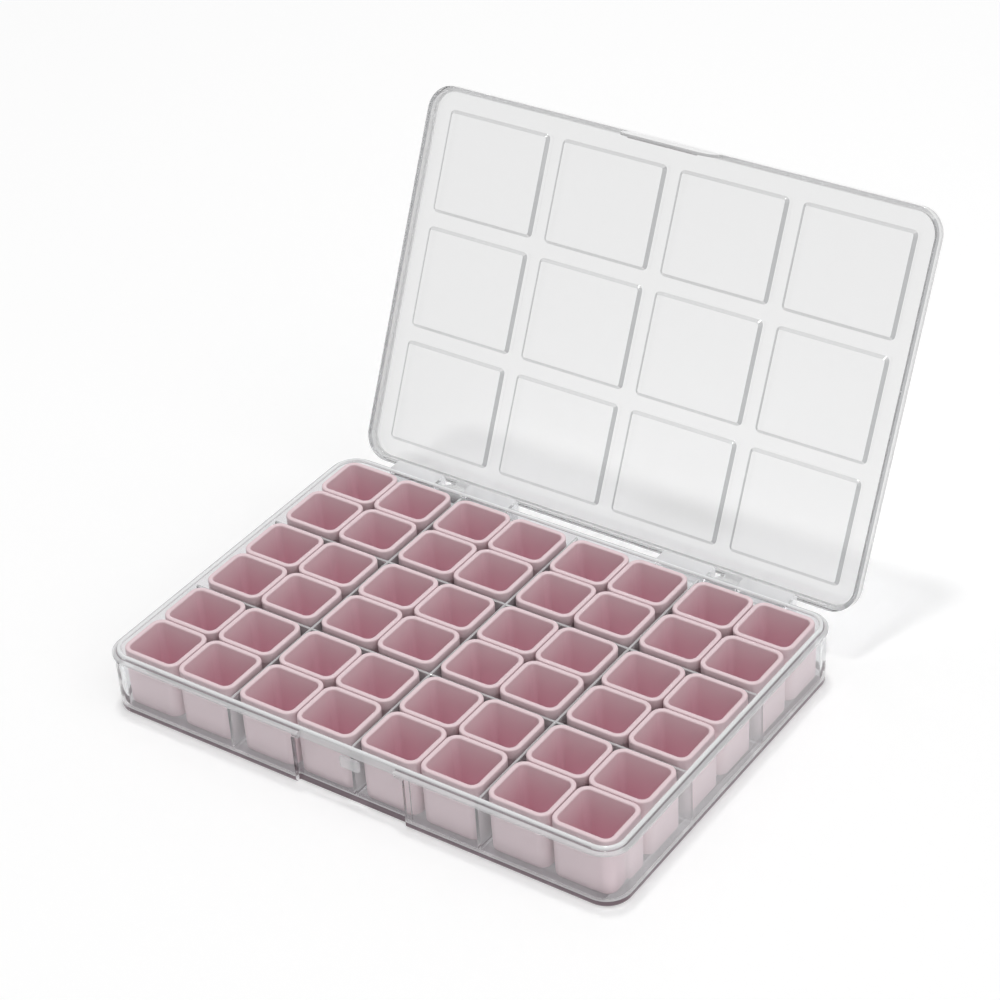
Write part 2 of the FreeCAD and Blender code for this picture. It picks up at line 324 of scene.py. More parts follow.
def move_edges(piece: Piece, test: Test, by: Place) -> None:
    """Shift the edges of a solid that pass a test, by a distance in millimetres."""
    make_active(piece)
    select(piece, Part.EDGE, test)
    bpy.ops.transform.translate(value=metres(*by))
    set_mode("OBJECT")


def work(piece: Piece, tool: Piece, cut: Cut) -> None:
    """Join a solid to a piece, or take it off, and remove the solid."""
    make_active(piece)
    bpy.ops.object.modifier_add(type="BOOLEAN")
    modifier = piece.modifiers[-1]
    modifier.operation = cut.value
    modifier.solver = "EXACT"
    modifier.object = tool
    bpy.ops.object.modifier_apply(modifier=modifier.name)
    bpy.data.objects.remove(tool)
    set_mode("EDIT")
    bpy.ops.mesh.select_all(action="SELECT")
    bpy.ops.mesh.remove_doubles(threshold=WELD * MM)
    bpy.ops.mesh.dissolve_degenerate(threshold=WELD * MM)
    set_mode("OBJECT")


def score(piece: Piece, heights: Sequence[float]) -> None:
    """Split the faces of a piece at some heights, so that each side can be marked by itself."""
    make_active(piece)
    set_mode("EDIT")
    for height in heights:
        bpy.ops.mesh.select_all(action="SELECT")
        bpy.ops.mesh.bisect(plane_co=(0, 0, height * MM), plane_no=(0, 0, 1))
    set_mode("OBJECT")


def copies(piece: Piece, places: Sequence[Place]) -> list[Piece]:
    """Copy a piece to further places, each copy with its own mesh.

    Args:
        piece: The piece, modelled round the origin. It goes to the first place.
        places: Places in millimetres.

    Returns:
        One object for each place.
    """
    made = [piece]
    for _ in places[1:]:
        make_active(piece)
        bpy.ops.object.duplicate(linked=False)
        made.append(bpy.context.object)
    for copy, place in zip(made, places):
        shift(copy, place)
    return made


def together(pieces: Sequence[Piece]) -> Piece:
    """Join the meshes of several objects into the first one."""
    make_active(pieces[0])
    for piece in pieces:
        piece.select_set(True)
    bpy.ops.object.join()
    return pieces[0]


def shade(piece: Piece, angle: float = SMOOTH_ANGLE) -> None:
    """Shade the rounded edges smooth and keep the large faces flat."""
    make_active(piece)
    bpy.ops.object.shade_smooth_by_angle(angle=math.radians(angle))
    bpy.ops.object.modifier_add(type="WEIGHTED_NORMAL")
    modifier = piece.modifiers[-1]
    modifier.keep_sharp = True
    bpy.ops.object.modifier_apply(modifier=modifier.name)


def mark_faces(piece: Piece, name: str, share_of: Callable[[Vector, Vector], float]) -> None:
    """Give each face of a piece a share that its material reads.

    Args:
        piece: The piece, its place in its mesh.
        name: Name of the attribute.
        share_of: Gets a face's middle in millimetres and its direction, and gives a share.
    """
    shares = [share_of(face.center / MM, face.normal) for face in piece.data.polygons]
    piece.data.attributes.new(name, "FLOAT", "FACE").data.foreach_set("value", shares)


def add_node(tree: bpy.types.NodeTree, kind: str, values: Optional[dict] = None,
             links: Optional[dict] = None, **settings: object) -> bpy.types.Node:
    """Add a node with its settings, socket values and links.

    Args:
        tree: Node tree of a material or the world.
        kind: Type of the node.
        values: Input name or number to its value.
        links: Input name or number to the output that feeds it.
        **settings: Properties of the node itself.

    Returns:
        The new node.
    """
    node = tree.nodes.new(kind)
    for name, value in settings.items():
        setattr(node, name, value)
    for socket, value in (values or {}).items():
        node.inputs[socket].default_value = value
    for socket, source in (links or {}).items():
        tree.links.new(source, node.inputs[socket])
    return node


def blank_material(name: str) -> bpy.types.Material:
    """New material with an empty node tree."""
    material = bpy.data.materials.new(name)
    material.use_nodes = True
    material.node_tree.nodes.clear()
    return material


def per_metre(length: float) -> float:
    """Scale of a pattern whose features are a length in millimetres apart."""
    return 1 / (length * MM)


@dataclass(frozen=True)
class ClearPolystyrene:
    """Clear moulded polystyrene: glossy and see-through, with faint flow marks and painted shade on its edges."""

    # The polished mould gives the eye sharp bright lines along rims and a clear sight through the walls. Bevels,
    # creases,
    # the foot and the floor get painted shade: their colour is pulled towards the edge colour, for the grey and
    # mauve that bent light leaves there, and milky faces scatter light. The low IOR keeps what is inside in its
    # place, as the thin walls of the real case do, and the coat has the IOR of polystyrene for the gloss. The two
    # lamp colours are what is left of a lamp's light behind clear faces and behind milky ones.
    name: str
    tint: str
    # edge is the colour that painted shade pulls a face towards
    edge: str
    lamp_tint: str = "fafafa"
    lamp_shade: str = "8c8c8e"
    absorbed: str = "c9ccd2"
    absorption: float = 8.0
    ior: float = 1.15
    gloss_ior: float = 1.59
    polish: tuple[float, float] = (0.015, 0.06)
    flow_mark: float = 9.0
    flow_height: float = 0.012
    flow_strength: float = 0.15
    # Attribute that holds each face's share of painted shade
    EDGE = "edge_shade"
    HAZE = "haze"

    def material(self) -> bpy.types.Material:
        """Material whose lamps reach what is inside, because the real case throws hardly any shade."""
        material = blank_material(self.name)
        tree = material.node_tree
        place = add_node(tree, "ShaderNodeTexCoord")
        flow = add_node(tree, "ShaderNodeTexNoise", {"Scale": per_metre(self.flow_mark), "Detail": 1.0},
                        {"Vector": place.outputs["Object"]})
        polish = add_node(tree, "ShaderNodeMapRange", {"To Min": self.polish[0], "To Max": self.polish[1]},
                          {"Value": flow.outputs["Fac"]})
        wave = add_node(tree, "ShaderNodeBump", {"Strength": self.flow_strength, "Distance": self.flow_height * MM},
                        {"Height": flow.outputs["Fac"]})
        # Painted shade: the face's share pulls the base colour from the tint to the edge colour.
        edge = add_node(tree, "ShaderNodeAttribute", attribute_name=self.EDGE)
        colour = add_node(tree, "ShaderNodeMix", {MIX_A: linear(self.tint), MIX_B: linear(self.edge)},
                          {0: edge.outputs["Fac"]}, data_type="RGBA")
        haze = add_node(tree, "ShaderNodeAttribute", attribute_name=self.HAZE)
        clarity = add_node(tree, "ShaderNodeMath", {0: 1.0}, {1: haze.outputs["Fac"]}, operation="SUBTRACT")
        plastic = add_node(tree, "ShaderNodeBsdfPrincipled",
                           {"IOR": self.ior, "Coat Weight": 1.0, "Coat IOR": self.gloss_ior,
                            "Coat Roughness": self.polish[0]},
                           {"Base Color": colour.outputs[MIX_OUT], "Roughness": polish.outputs["Result"],
                            "Transmission Weight": clarity.outputs["Value"], "Normal": wave.outputs["Normal"]})
        let_by = add_node(tree, "ShaderNodeMix",
                          {MIX_A: linear(self.lamp_tint), MIX_B: linear(self.lamp_shade)},
                          {0: haze.outputs["Fac"]}, data_type="RGBA")
        clear = add_node(tree, "ShaderNodeBsdfTransparent", None, {"Color": let_by.outputs[MIX_OUT]})
        ray = add_node(tree, "ShaderNodeLightPath")
        mix = add_node(tree, "ShaderNodeMixShader", None,
                       {"Fac": ray.outputs["Is Shadow Ray"], 1: plastic.outputs["BSDF"], 2: clear.outputs["BSDF"]})
        depth = add_node(tree, "ShaderNodeVolumeAbsorption",
                         {"Color": linear(self.absorbed), "Density": self.absorption})
        add_node(tree, "ShaderNodeOutputMaterial", None,
                 {"Surface": mix.outputs["Shader"], "Volume": depth.outputs["Volume"]})
        return material


@dataclass(frozen=True)
class PinkPolypropylene:
    """Dusty pink moulded polypropylene: satin and a little waxy, painted deeper pink down inside the cups."""

    # The satin mould gives the eye soft wide highlights on the rims and no mirror image. Inside a cup the colour is
    # painted deeper pink towards the bottom, for light that goes from wall to wall there.
    pale: str = "ebd5d9"
    # Painted shade: the deeper pink of light bounced from wall to wall inside a cup
    painted_deep_pink: str = "ecc3cf"
    ior: float = 1.49
    mottle: float = 3.0
    mottle_share: float = 0.12
    grain: float = 0.5
    grain_height: float = 0.01
    grain_strength: float = 0.1
    gloss: tuple[float, float] = (0.36, 0.5)

    def material(self) -> bpy.types.Material:
        """Material that turns from pale to a painted deeper pink by the depth attribute that each cup carries."""
        material = blank_material("satin_pink_polypropylene")
        tree = material.node_tree
        place = add_node(tree, "ShaderNodeTexCoord")
        depth = add_node(tree, "ShaderNodeAttribute", attribute_name=Cups.DEPTH)
        mottle = add_node(tree, "ShaderNodeTexNoise", {"Scale": per_metre(self.mottle), "Detail": 2.0},
                          {"Vector": place.outputs["Object"]})
        cloud = add_node(tree, "ShaderNodeMath", {1: self.mottle_share}, {0: mottle.outputs["Fac"]},
                         operation="MULTIPLY")
        share = add_node(tree, "ShaderNodeMath", None, {0: depth.outputs["Fac"], 1: cloud.outputs["Value"]},
                         operation="ADD", use_clamp=True)
        colour = add_node(tree, "ShaderNodeMix", {MIX_A: linear(self.pale), MIX_B: linear(self.painted_deep_pink)},
                          {0: share.outputs["Value"]}, data_type="RGBA")
        gloss = add_node(tree, "ShaderNodeMapRange", {"To Min": self.gloss[0], "To Max": self.gloss[1]},
                         {"Value": mottle.outputs["Fac"]})
        # The real grain is too fine to show, so it is drawn a few times coarser.
        grain = add_node(tree, "ShaderNodeTexNoise", {"Scale": per_metre(self.grain), "Detail": 1.0},
                         {"Vector": place.outputs["Object"]})
        skin = add_node(tree, "ShaderNodeBump",
                        {"Strength": self.grain_strength, "Distance": self.grain_height * MM},
                        {"Height": grain.outputs["Fac"]})
        plastic = add_node(tree, "ShaderNodeBsdfPrincipled", {"IOR": self.ior},
                           {"Base Color": colour.outputs[MIX_OUT], "Roughness": gloss.outputs["Result"],
                            "Normal": skin.outputs["Normal"]})
        add_node(tree, "ShaderNodeOutputMaterial", None, {"Surface": plastic.outputs["BSDF"]})
        return material


def settle(piece: Piece, name: str, body: str, nodes: Sequence[str],
           finish: bpy.types.Material) -> None:
    """Name and dress a finished piece, and hand it to the frame.

    Args:
        piece: The finished object, its place in its mesh.
        name: Name of the piece.
        body: Body that it moves with.
        nodes: Nodes that it stands for.
        finish: Material of the whole piece.
    """
    piece.name = name
    piece.data.name = name
    piece.data.materials.clear()
    piece.data.materials.append(finish)
    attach(piece, body)
    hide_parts(*nodes)
    LOG.info("%s: %d faces", name, len(piece.data.polygons))


@dataclass
class Cups:
    """Loose cups in a grid, with extra room for the dividers between groups."""

    columns: int = 8
    rows: int = 6
    group: int = 2
    pitch: tuple[float, float] = (24.0, 21.5)
    divider_gap: float = 2.4
    spacing: float = 0.4
    stand: float = 1.6
    height: float = 22.4
    corner: float = 4.4
    rim: float = 1.8
    collar: float = 3.8
    overhang: float = 0.4
    step: float = 0.4
    draft: float = 0.3
    bottom: float = 1.2
    rim_round: float = 0.6
    shoulder_round: float = 0.2
    foot_round: float = 1.0
    inner_round: float = 1.3
    inner_flat: float = 1.02  # the bottom's flat starts this many radii in, since the corners are small there
    corner_steps: int = 8
    smooth_angle: float = 60.0
    letters: str = "abcdef"
    DEPTH = "depth_inside"

    def profile(self) -> tuple[Profile, Profile]:
        """Outside and inside profiles of (margin, height) points; margins are negative inside the collar."""
        shoulder = self.height - self.collar
        outside = rounded([(-self.overhang - self.draft - self.foot_round * FLAT_START, 0, 0),
                           (-self.overhang - self.draft, 0, self.foot_round),
                           (-self.overhang, shoulder - self.step, self.shoulder_round),
                           (0, shoulder, self.shoulder_round),
                           (0, self.height, self.rim_round),
                           (-self.rim, self.height, 0)])
        inside = rounded([(0, self.height, 0),
                          (-self.rim, self.height, self.rim_round),
                          (-self.rim - self.draft, self.bottom, self.inner_round),
                          (-self.rim - self.draft - self.inner_round * self.inner_flat, self.bottom, 0)])
        return outside[:-1], inside[1:]

    def model(self) -> Piece:
        """One cup that stands on the floor of the tray, round the Z axis."""
        outside, inside = self.profile()
        half_x = (self.pitch[0] - self.spacing) / 2
        half_y = (self.pitch[1] - self.spacing) / 2
        rings = [Ring(half_x + margin, half_y + margin, self.corner + margin, self.stand + z)
                 for margin, z in outside + inside]
        cup = loft("cup", rings, self.corner_steps)
        self.mark_depth(cup, [0.0] * len(outside) + [1 - z / self.height for margin, z in inside])
        shade(cup, self.smooth_angle)
        return cup

    def mark_depth(self, cup: Piece, shares: Sequence[float]) -> None:
        """Give each ring of the cup its depth inside, as a share, for the painted deeper pink of the material."""
        count = len(cup.data.vertices) // len(shares)
        depths = [share for share in shares for _ in range(count)]
        cup.data.attributes.new(self.DEPTH, "FLOAT", "POINT").data.foreach_set("value", depths)

    def place(self, index: int, count: int, pitch: float) -> float:
        """Middle of a cup along one side of the grid."""
        offset = index * pitch + index // self.group * self.divider_gap
        last = (count - 1) * pitch + (count - 1) // self.group * self.divider_gap
        return offset - last / 2

    def build(self, finish: bpy.types.Material) -> None:
        """Model one cup, copy it to the whole grid and let each copy stand for its node."""
        names = []
        places = []
        for row in range(self.rows):
            for column in range(self.columns):
                names.append(f"cup_{self.letters[row]}{column + 1}")
                places.append((self.place(column, self.columns, self.pitch[0]),
                               self.place(row, self.rows, self.pitch[1]), 0.0))
        for name, cup in zip(names, copies(self.model(), places)):
            settle(cup, f"pink_{name}", name, [name], finish)


@dataclass
class Tray:
    """Clear tray in one moulding: walls, lip, rim, dividers, front recess, catch and hinge shelves."""

    outline: CaseOutline
    height: float = 24.0
    floor: float = 1.6
    # Margins outside the block of cups
    lip_margin: float = 4.7
    wall_margin: float = 4.1
    base_margin: float = 3.9
    rim_margin: float = 2.9
    inner_margin: float = 1.5
    floor_margin: float = 1.2
    # Heights of the lip's two faces, and of the lines between which the foot's bright line runs
    lip: tuple[float, float] = (21.6, 22.6)
    foot_line: tuple[float, float] = (2.5, 3.2)
    rim_round: float = 0.6
    lip_round: float = 0.4
    under_round: float = 0.25
    foot_round: float = 1.2
    floor_round: float = 0.6
    # Dividers: their places, half thickness at the root and the top, and their top
    divider_x: tuple[float, ...] = (-50.4, 0.0, 50.4)
    divider_y: tuple[float, ...] = (-22.7, 22.7)
    divider_half: tuple[float, float] = (0.7, 0.5)
    divider_top: float = 22.2
    divider_round: float = 0.35
    divider_steps: int = 3
    # Front recess, the notch above it and the catch in it
    recess_half: float = 22.5
    recess_depth: float = 2.2
    recess_wall: float = 1.3
    recess_top: float = 20.0
    recess_round: float = 0.5
    notch_half: float = 19.5
    catch_half: float = 4.0
    catch_z: tuple[float, float] = (14.0, 18.6)
    catch_crest: float = 70.1
    catch_rounds: tuple[float, float] = (1.2, 0.9)
    # Hinge shelves: the axis is at (y, z), and the pins and the stops reach into the shelves by their roots
    hinge_x: float = 58.0
    hinge_length: float = 53.0
    hinge_notch: float = 12.2
    axis: tuple[float, float] = (74.26, 17.0)
    pin_radius: float = 1.1
    pin_root: float = 1.0
    pin_sides: int = 24
    shelf_root: float = 70.3
    shelf_back: float = 77.66
    shelf_bottom: float = 13.54
    shelf_wall: float = 1.4
    shelf_round: float = 1.1
    stop_top: float = 14.54
    stop_root: float = 0.2
    # Shares for the material: haze scatters the light, and each shade is a share of painted shade towards the edge
    # colour
    rim_haze: float = 0.9
    lip_haze: float = 0.6
    catch_haze: float = 0.5
    divider_haze: float = 0.3
    foot_haze: float = 0.75
    # Painted shade: the floor and its underside for the shaded ground seen through them, the foot band and its
    # line, the rim's outer wall and the creases for dark lines, and the lip for a touch of mauve from the pink cups
    # seen through it
    floor_shade: float = 0.3
    under_shade: float = 0.85
    line_shade: float = 0.25
    lip_shade: float = 0.12
    crease_shade: float = 0.7
    rim_shade: float = 0.35
    corner_steps: int = 12
    round_steps: int = 4

    def shell(self) -> Piece:
        """Floor, walls, lip and rim, as one lofted shell from the underside to the floor inside."""
        profile = rounded([
            (self.base_margin - self.foot_round * FLAT_START, 0, 0),
            (self.base_margin, 0, self.foot_round),
            (self.wall_margin, self.lip[0], self.under_round),
            (self.lip_margin, self.lip[0], self.under_round),
            (self.lip_margin, self.lip[1], self.lip_round),
            (self.rim_margin, self.lip[1], self.lip_round),
            (self.rim_margin, self.height, self.rim_round),
            (self.inner_margin, self.height, self.rim_round),
            (self.floor_margin, self.floor, self.floor_round),
            (self.floor_margin - self.floor_round * FLAT_START, self.floor, 0)])
        return loft("tray", self.outline.rings(profile), self.corner_steps)

    def divider(self, length: float) -> Piece:
        """Upright divider along X, thinner and rounded at its top."""
        root, top = self.divider_half
        bar = block("divider", (-length / 2, -root, self.floor / 2), (length / 2, root, self.divider_top))

        def on_top(middle: Vector, way: Vector) -> bool:
            """Whether an edge runs along the top."""
            return middle.z > self.floor + OVERRUN and abs(way.x) > ALONG

        for side in Side:
            move_edges(bar, lambda middle, way: on_top(middle, way) and middle.y * side.value > 0,
                       (0, (top - root) * side.value, 0))
        soften(bar, on_top, self.divider_round, self.divider_steps)
        return bar

    def dividers(self) -> list[Piece]:
        """Every divider, its ends inside the walls."""
        reach = self.inner_margin + (self.rim_margin - self.inner_margin) / 2
        along_x = self.divider(self.outline.size_x + 2 * reach)
        walls = copies(along_x, [(0, y, 0) for y in self.divider_y])
        along_y = self.divider(self.outline.size_y + 2 * reach)
        along_y.rotation_euler = (0, 0, math.pi / 2)
        apply_place(along_y)
        return walls + copies(along_y, [(x, 0, 0) for x in self.divider_x])

    def recess(self) -> Piece:
        """What is taken off the front wall, its back leaning as the wall does."""
        face = self.outline.size_y / 2 + self.base_margin - self.recess_depth
        lean = (self.wall_margin - self.base_margin) * self.recess_top / self.lip[0]
        far = -self.outline.size_y
        tool = block("recess", (-self.recess_half, far, -OVERRUN), (self.recess_half, -face, self.recess_top))
        move_edges(tool, lambda middle, way: middle.z > 0 and abs(way.x) > ALONG and middle.y > far + OVERRUN,
                   (0, -lean, 0))
        soften(tool, lambda middle, way: middle.y > far + OVERRUN, self.recess_round, self.round_steps)
        return tool

    def recess_back(self) -> Piece:
        """Inside of the front wall behind the recess, where the wall steps in."""
        half = self.recess_half + self.recess_wall
        front = self.outline.size_y / 2
        face = front + self.base_margin - self.recess_depth - self.recess_wall
        back = block("recess_back", (-half, -front - self.rim_margin, self.floor / 2),
                     (half, -face, self.recess_top + self.recess_wall))
        soften(back, lambda middle, way: middle.y > -front - self.inner_margin
               and (abs(way.x) < ALONG or middle.z > self.floor), self.recess_round, self.round_steps)
        return back

    def notch(self) -> Piece:
        """Gap in the lip that the tab of the shut lid fills, with no face on a face of the lip or the rim."""
        face = self.outline.size_y / 2 + self.rim_margin - BITE
        return block("notch", (-self.notch_half, -self.outline.size_y, self.recess_top - OVERRUN / 2),
                     (self.notch_half, -face, self.lip[1] + self.lip_round + BITE))

    def catch(self) -> Piece:
        """Rounded bump on the back of the recess."""
        root = self.outline.size_y / 2 + self.base_margin - self.recess_depth - self.recess_wall / 2
        bump = block("catch", (-self.catch_half, -self.catch_crest, self.catch_z[0]),
                     (self.catch_half, -root, self.catch_z[1]))
        upright, level = self.catch_rounds
        soften(bump, lambda middle, way: middle.y < -root - ON_FACE and abs(way.z) > ALONG,
               upright, self.round_steps)
        soften(bump, lambda middle, way: middle.y < -root - ON_FACE and abs(way.z) < ALONG,
               level, self.round_steps)
        return bump

    def shelf_half(self, side: Side) -> Piece:
        """One half of a hinge shelf, hollow from below, with a rounded back edge."""
        inner = self.hinge_notch / 2
        outer = self.hinge_length / 2
        low, high = sorted((inner * side.value, outer * side.value))
        half = block("shelf", (low, self.shelf_root, self.shelf_bottom), (high, self.shelf_back, self.lip[1]))
        soften(half, lambda middle, way: middle.z > self.lip[1] - ON_FACE and middle.y > self.shelf_back - ON_FACE,
               self.shelf_round, self.round_steps)
        make_active(half)
        select(half, Part.FACE, lambda middle, way: way.z < -ALONG)
        bpy.ops.mesh.inset(thickness=self.shelf_wall * MM)
        bpy.ops.mesh.extrude_region_move(
            TRANSFORM_OT_translate={"value": (0, 0, (self.lip[0] - self.shelf_wall - self.shelf_bottom) * MM)})
        set_mode("OBJECT")
        return half

    def shelf(self, side: Side) -> list[Piece]:
        """Both halves of a hinge shelf, with the pin between them and the stop below it."""
        reach = self.hinge_notch / 2 + self.stop_root
        pin = rod("pin", (0, *self.axis), self.pin_radius, self.hinge_notch + 2 * self.pin_root, self.pin_sides)
        stop = block("stop", (-reach, self.shelf_root, self.shelf_bottom + BITE),
                     (reach, self.shelf_back - BITE, self.stop_top))
        solids = [self.shelf_half(Side.LEFT), self.shelf_half(Side.RIGHT), pin, stop]
        for solid in solids:
            shift(solid, (side.value * self.hinge_x, 0, 0))
        return solids

    def milkiness(self, middle: Vector, way: Vector) -> float:
        """How milky a face is: the rim, the lip, the catch, the foot and the dividers scatter light."""
        front = -middle.y - self.outline.size_y / 2
        if middle.z > self.lip[1] + self.lip_round:
            return self.rim_haze
        if middle.z > self.lip[0] - self.lip_round and way.z > -ALONG:
            return self.lip_haze
        past_recess = self.base_margin - self.recess_depth + self.lip_round
        if abs(middle.x) < self.catch_half + SLACK and front > past_recess:
            return self.catch_haze if middle.z < self.recess_top else 0.0
        if SLACK < middle.z < self.foot_line[1] and abs(way.z) < ALONG and self.outline.faces_out(middle, way):
            return self.foot_haze
        off_divider = min([abs(middle.x - x) for x in self.divider_x] + [abs(middle.y - y) for y in self.divider_y])
        inside = middle.z > self.foot_line[1] and self.outline.margin_at(middle) < self.floor_margin
        return self.divider_haze if inside and off_divider < self.divider_half[0] + SLACK else 0.0

    def edge_shade(self, middle: Vector, way: Vector) -> float:
        """Share of painted shade on a face: the foot, the floor, the rim, the lip and the creases darken."""
        margin = self.outline.margin_at(middle)
        upright = abs(way.z) < ALONG
        if middle.z < self.foot_line[0]:
            if upright:
                return float(self.outline.faces_out(middle, way))
            return self.floor_shade if way.z > 0 else self.under_shade
        if self.lip[1] + SLACK < middle.z < self.height - self.rim_round and margin > self.rim_margin - SLACK:
            return self.crease_shade if middle.z < self.lip[1] + self.lip_round else self.rim_shade
        if self.lip[0] - self.lip_round < middle.z < self.lip[1] + SLACK:
            return self.lip_shade
        if middle.z < self.foot_line[1] and upright and self.outline.faces_out(middle, way):
            return self.line_shade
        beside = self.recess_half - SLACK < abs(middle.x) < self.recess_half + self.recess_wall + SLACK
        if beside and abs(way.x) > ALONG and middle.y < 0 and middle.z < self.recess_top:
            return self.crease_shade
        return 0.0

    def build(self, finish: bpy.types.Material) -> None:
        """Work every feature into the shell, so that light meets one clear solid."""
        tray = self.shell()
        for solid in self.dividers() + [self.recess_back()]:
            work(tray, solid, Cut.JOIN)
        for tool in (self.recess(), self.notch()):
            work(tray, tool, Cut.TAKE_OFF)
        for solid in self.shelf(Side.LEFT) + self.shelf(Side.RIGHT) + [self.catch()]:
            work(tray, solid, Cut.JOIN)
        score(tray, self.foot_line)
        mark_faces(tray, ClearPolystyrene.EDGE, self.edge_shade)
        mark_faces(tray, ClearPolystyrene.HAZE, self.milkiness)
        shade(tray)
        settle(tray, "clear_tray", "tray", ["tray"], finish)


@dataclass
class Lid:
    """Clear lid in one moulding: plate, skirt, panels, front tab and hinge clips, swung open on its hinge."""

    outline: CaseOutline
    bottom: float = 22.7
    top: float = 27.3
    plate_bottom: float = 25.6
    margin: float = 4.7
    inner_margin: float = 3.1
    top_round: float = 0.9
    skirt_round: float = 0.4
    plate_round: float = 0.6
    panel_columns: int = 4
    panel_rows: int = 3
    panel: tuple[float, float] = (43.8, 38.4)
    panel_gap: float = 5.4
    panel_step: float = 1.0
    panel_bevel: float = 1.1
    panel_flat: float = 1.65  # how far in from its foot the flat of a panel starts
    panel_round: float = 0.4
    panel_corner: float = 2.0
    panel_steps: int = 6
    tab_half: float = 19.0
    tab_bottom: float = 12.7
    tab_thickness: float = 1.0
    tab_corner: float = 5.0
    tab_steps: int = 8
    ridge: float = 0.4
    ridge_height: float = 1.2
    ridge_root: float = 0.1
    ridge_sides: int = 16
    hinge_x: float = 58.0
    axis: tuple[float, float] = (74.26, 17.0)
    open_angle: float = 115.0
    clip_half: float = 5.7
    clip_radius: float = 2.36
    clip_bore: float = 1.16
    clip_mouth: float = 1.9
    clip_top: float = 26.8
    clip_sides: int = 32
    bore_sides: int = 24
    # Shares for the material, as on the tray; the shades are painted shade, and the first bevel shade is for bevels
    # that run from front to back, which are painted darker
    bevel_shades: tuple[float, float] = (1.0, 0.5)
    skirt_shade: float = 0.3
    tab_haze: float = 0.7
    clip_haze: float = 0.4
    skirt_haze: float = 0.5
    corner_steps: int = 12

    def front(self) -> float:
        """Distance of the front of the lid from the middle of the case."""
        return self.outline.size_y / 2 + self.margin

    def shell(self) -> Piece:
        """Plate and skirt, as one lofted shell from the top face to the inside of the plate."""
        profile = rounded([
            (self.margin - self.top_round * FLAT_START, self.top, 0),
            (self.margin, self.top, self.top_round),
            (self.margin, self.bottom, self.skirt_round),
            (self.inner_margin, self.bottom, self.skirt_round),
            (self.inner_margin, self.plate_bottom, self.plate_round),
            (self.inner_margin - self.plate_round * FLAT_START, self.plate_bottom, 0)])
        return loft("lid", self.outline.rings(profile), self.corner_steps)

    def panels(self) -> Piece:
        """Every pad with bevelled edges that stands out of the inside of the plate."""
        half_x, half_y = (size / 2 for size in self.panel)
        profile = rounded([(-self.panel_flat, self.plate_bottom - self.panel_step, 0),
                           (-self.panel_bevel, self.plate_bottom - self.panel_step, self.panel_round),
                           (0, self.plate_bottom, 0),
                           (0, self.plate_bottom + self.panel_step, 0)])
        rings = [Ring(half_x + margin, half_y + margin, self.panel_corner + margin, z) for margin, z in profile]
        pad = loft("panel", rings, self.panel_steps)
        places = []
        for column in range(self.panel_columns):
            for row in range(self.panel_rows):
                places.append(((column - (self.panel_columns - 1) / 2) * (self.panel[0] + self.panel_gap),
                               (row - (self.panel_rows - 1) / 2) * (self.panel[1] + self.panel_gap), 0.0))
        return together(copies(pad, places))

    def tab(self) -> Piece:
        """Front tab with rounded lower corners and a ridge inside that passes the catch."""
        face = -self.front()
        inner = face + self.tab_thickness
        plate = block("tab", (-self.tab_half, face, self.tab_bottom), (self.tab_half, inner, self.plate_bottom))
        soften(plate, lambda middle, way: middle.z < self.tab_bottom + ON_FACE and abs(way.y) > ALONG,
               self.tab_corner, self.tab_steps)
        ridge = rod("ridge", (0, inner - self.ridge_root, self.tab_bottom + self.ridge_height / 2),
                    self.ridge + self.ridge_root, 2 * (self.tab_half - self.tab_corner), self.ridge_sides)
        work(plate, ridge, Cut.JOIN)
        return plate

    def clip(self) -> Piece:
        """Hinge clip: a split ring on the pin, and an arm whose back meets the stop."""
        y, z = self.axis
        turn = math.radians(self.open_angle)
        touch = (y + self.clip_radius * math.sin(turn), z - self.clip_radius * math.cos(turn))
        lean = (self.clip_top - touch[1]) / math.tan(turn)
        root = self.front() - (self.margin - self.inner_margin) / 2
        ring = rod("clip", (0, y, z), self.clip_radius, 2 * self.clip_half, self.clip_sides)
        arm = block("arm", (-self.clip_half, y - self.clip_radius, z), (self.clip_half, touch[0], self.clip_top))
        half_way = (z + self.clip_top) / 2
        move_edges(arm, lambda middle, way: middle.z > half_way and middle.y > y and abs(way.x) > ALONG,
                   (0, lean, 0))
        move_edges(arm, lambda middle, way: middle.z < half_way and middle.y > y and abs(way.x) > ALONG,
                   (0, 0, touch[1] - z))
        root_bar = block("root", (-self.clip_half, root, self.bottom), (self.clip_half, y, self.clip_top))
        bore = rod("bore", (0, y, z), self.clip_bore, 2 * (self.clip_half + OVERRUN), self.bore_sides)
        mouth = block("mouth", (-self.clip_half - OVERRUN, y, z - self.clip_mouth / 2),
                      (self.clip_half + OVERRUN, y + self.clip_radius + OVERRUN, z + self.clip_mouth / 2))
        for solid in (arm, root_bar):
            work(ring, solid, Cut.JOIN)
        for tool in (bore, mouth):
            work(ring, tool, Cut.TAKE_OFF)
        return ring

    def edge_shade(self, middle: Vector, way: Vector) -> float:
        """Share of painted shade on a face of the shut lid: the bevels of the panels and the skirt darken."""
        margin = self.outline.margin_at(middle)
        across = self.bevel_shades[0] if self.outline.on_side(middle) else self.bevel_shades[1]
        if margin > self.inner_margin - self.plate_round:
            if middle.z < self.bottom - SLACK:
                return self.skirt_shade if middle.y < 0 else 0.0
            if middle.z < self.bottom + self.skirt_round:
                return across
            if margin < self.inner_margin - SLACK:
                return self.bevel_shades[1]
            return 0.0 if margin < self.margin - self.skirt_round else self.skirt_shade
        if self.plate_bottom - self.panel_step + SLACK < middle.z < self.plate_bottom - SLACK:
            return self.bevel_shades[0] if abs(way.x) > abs(way.y) else self.bevel_shades[1]
        return 0.0

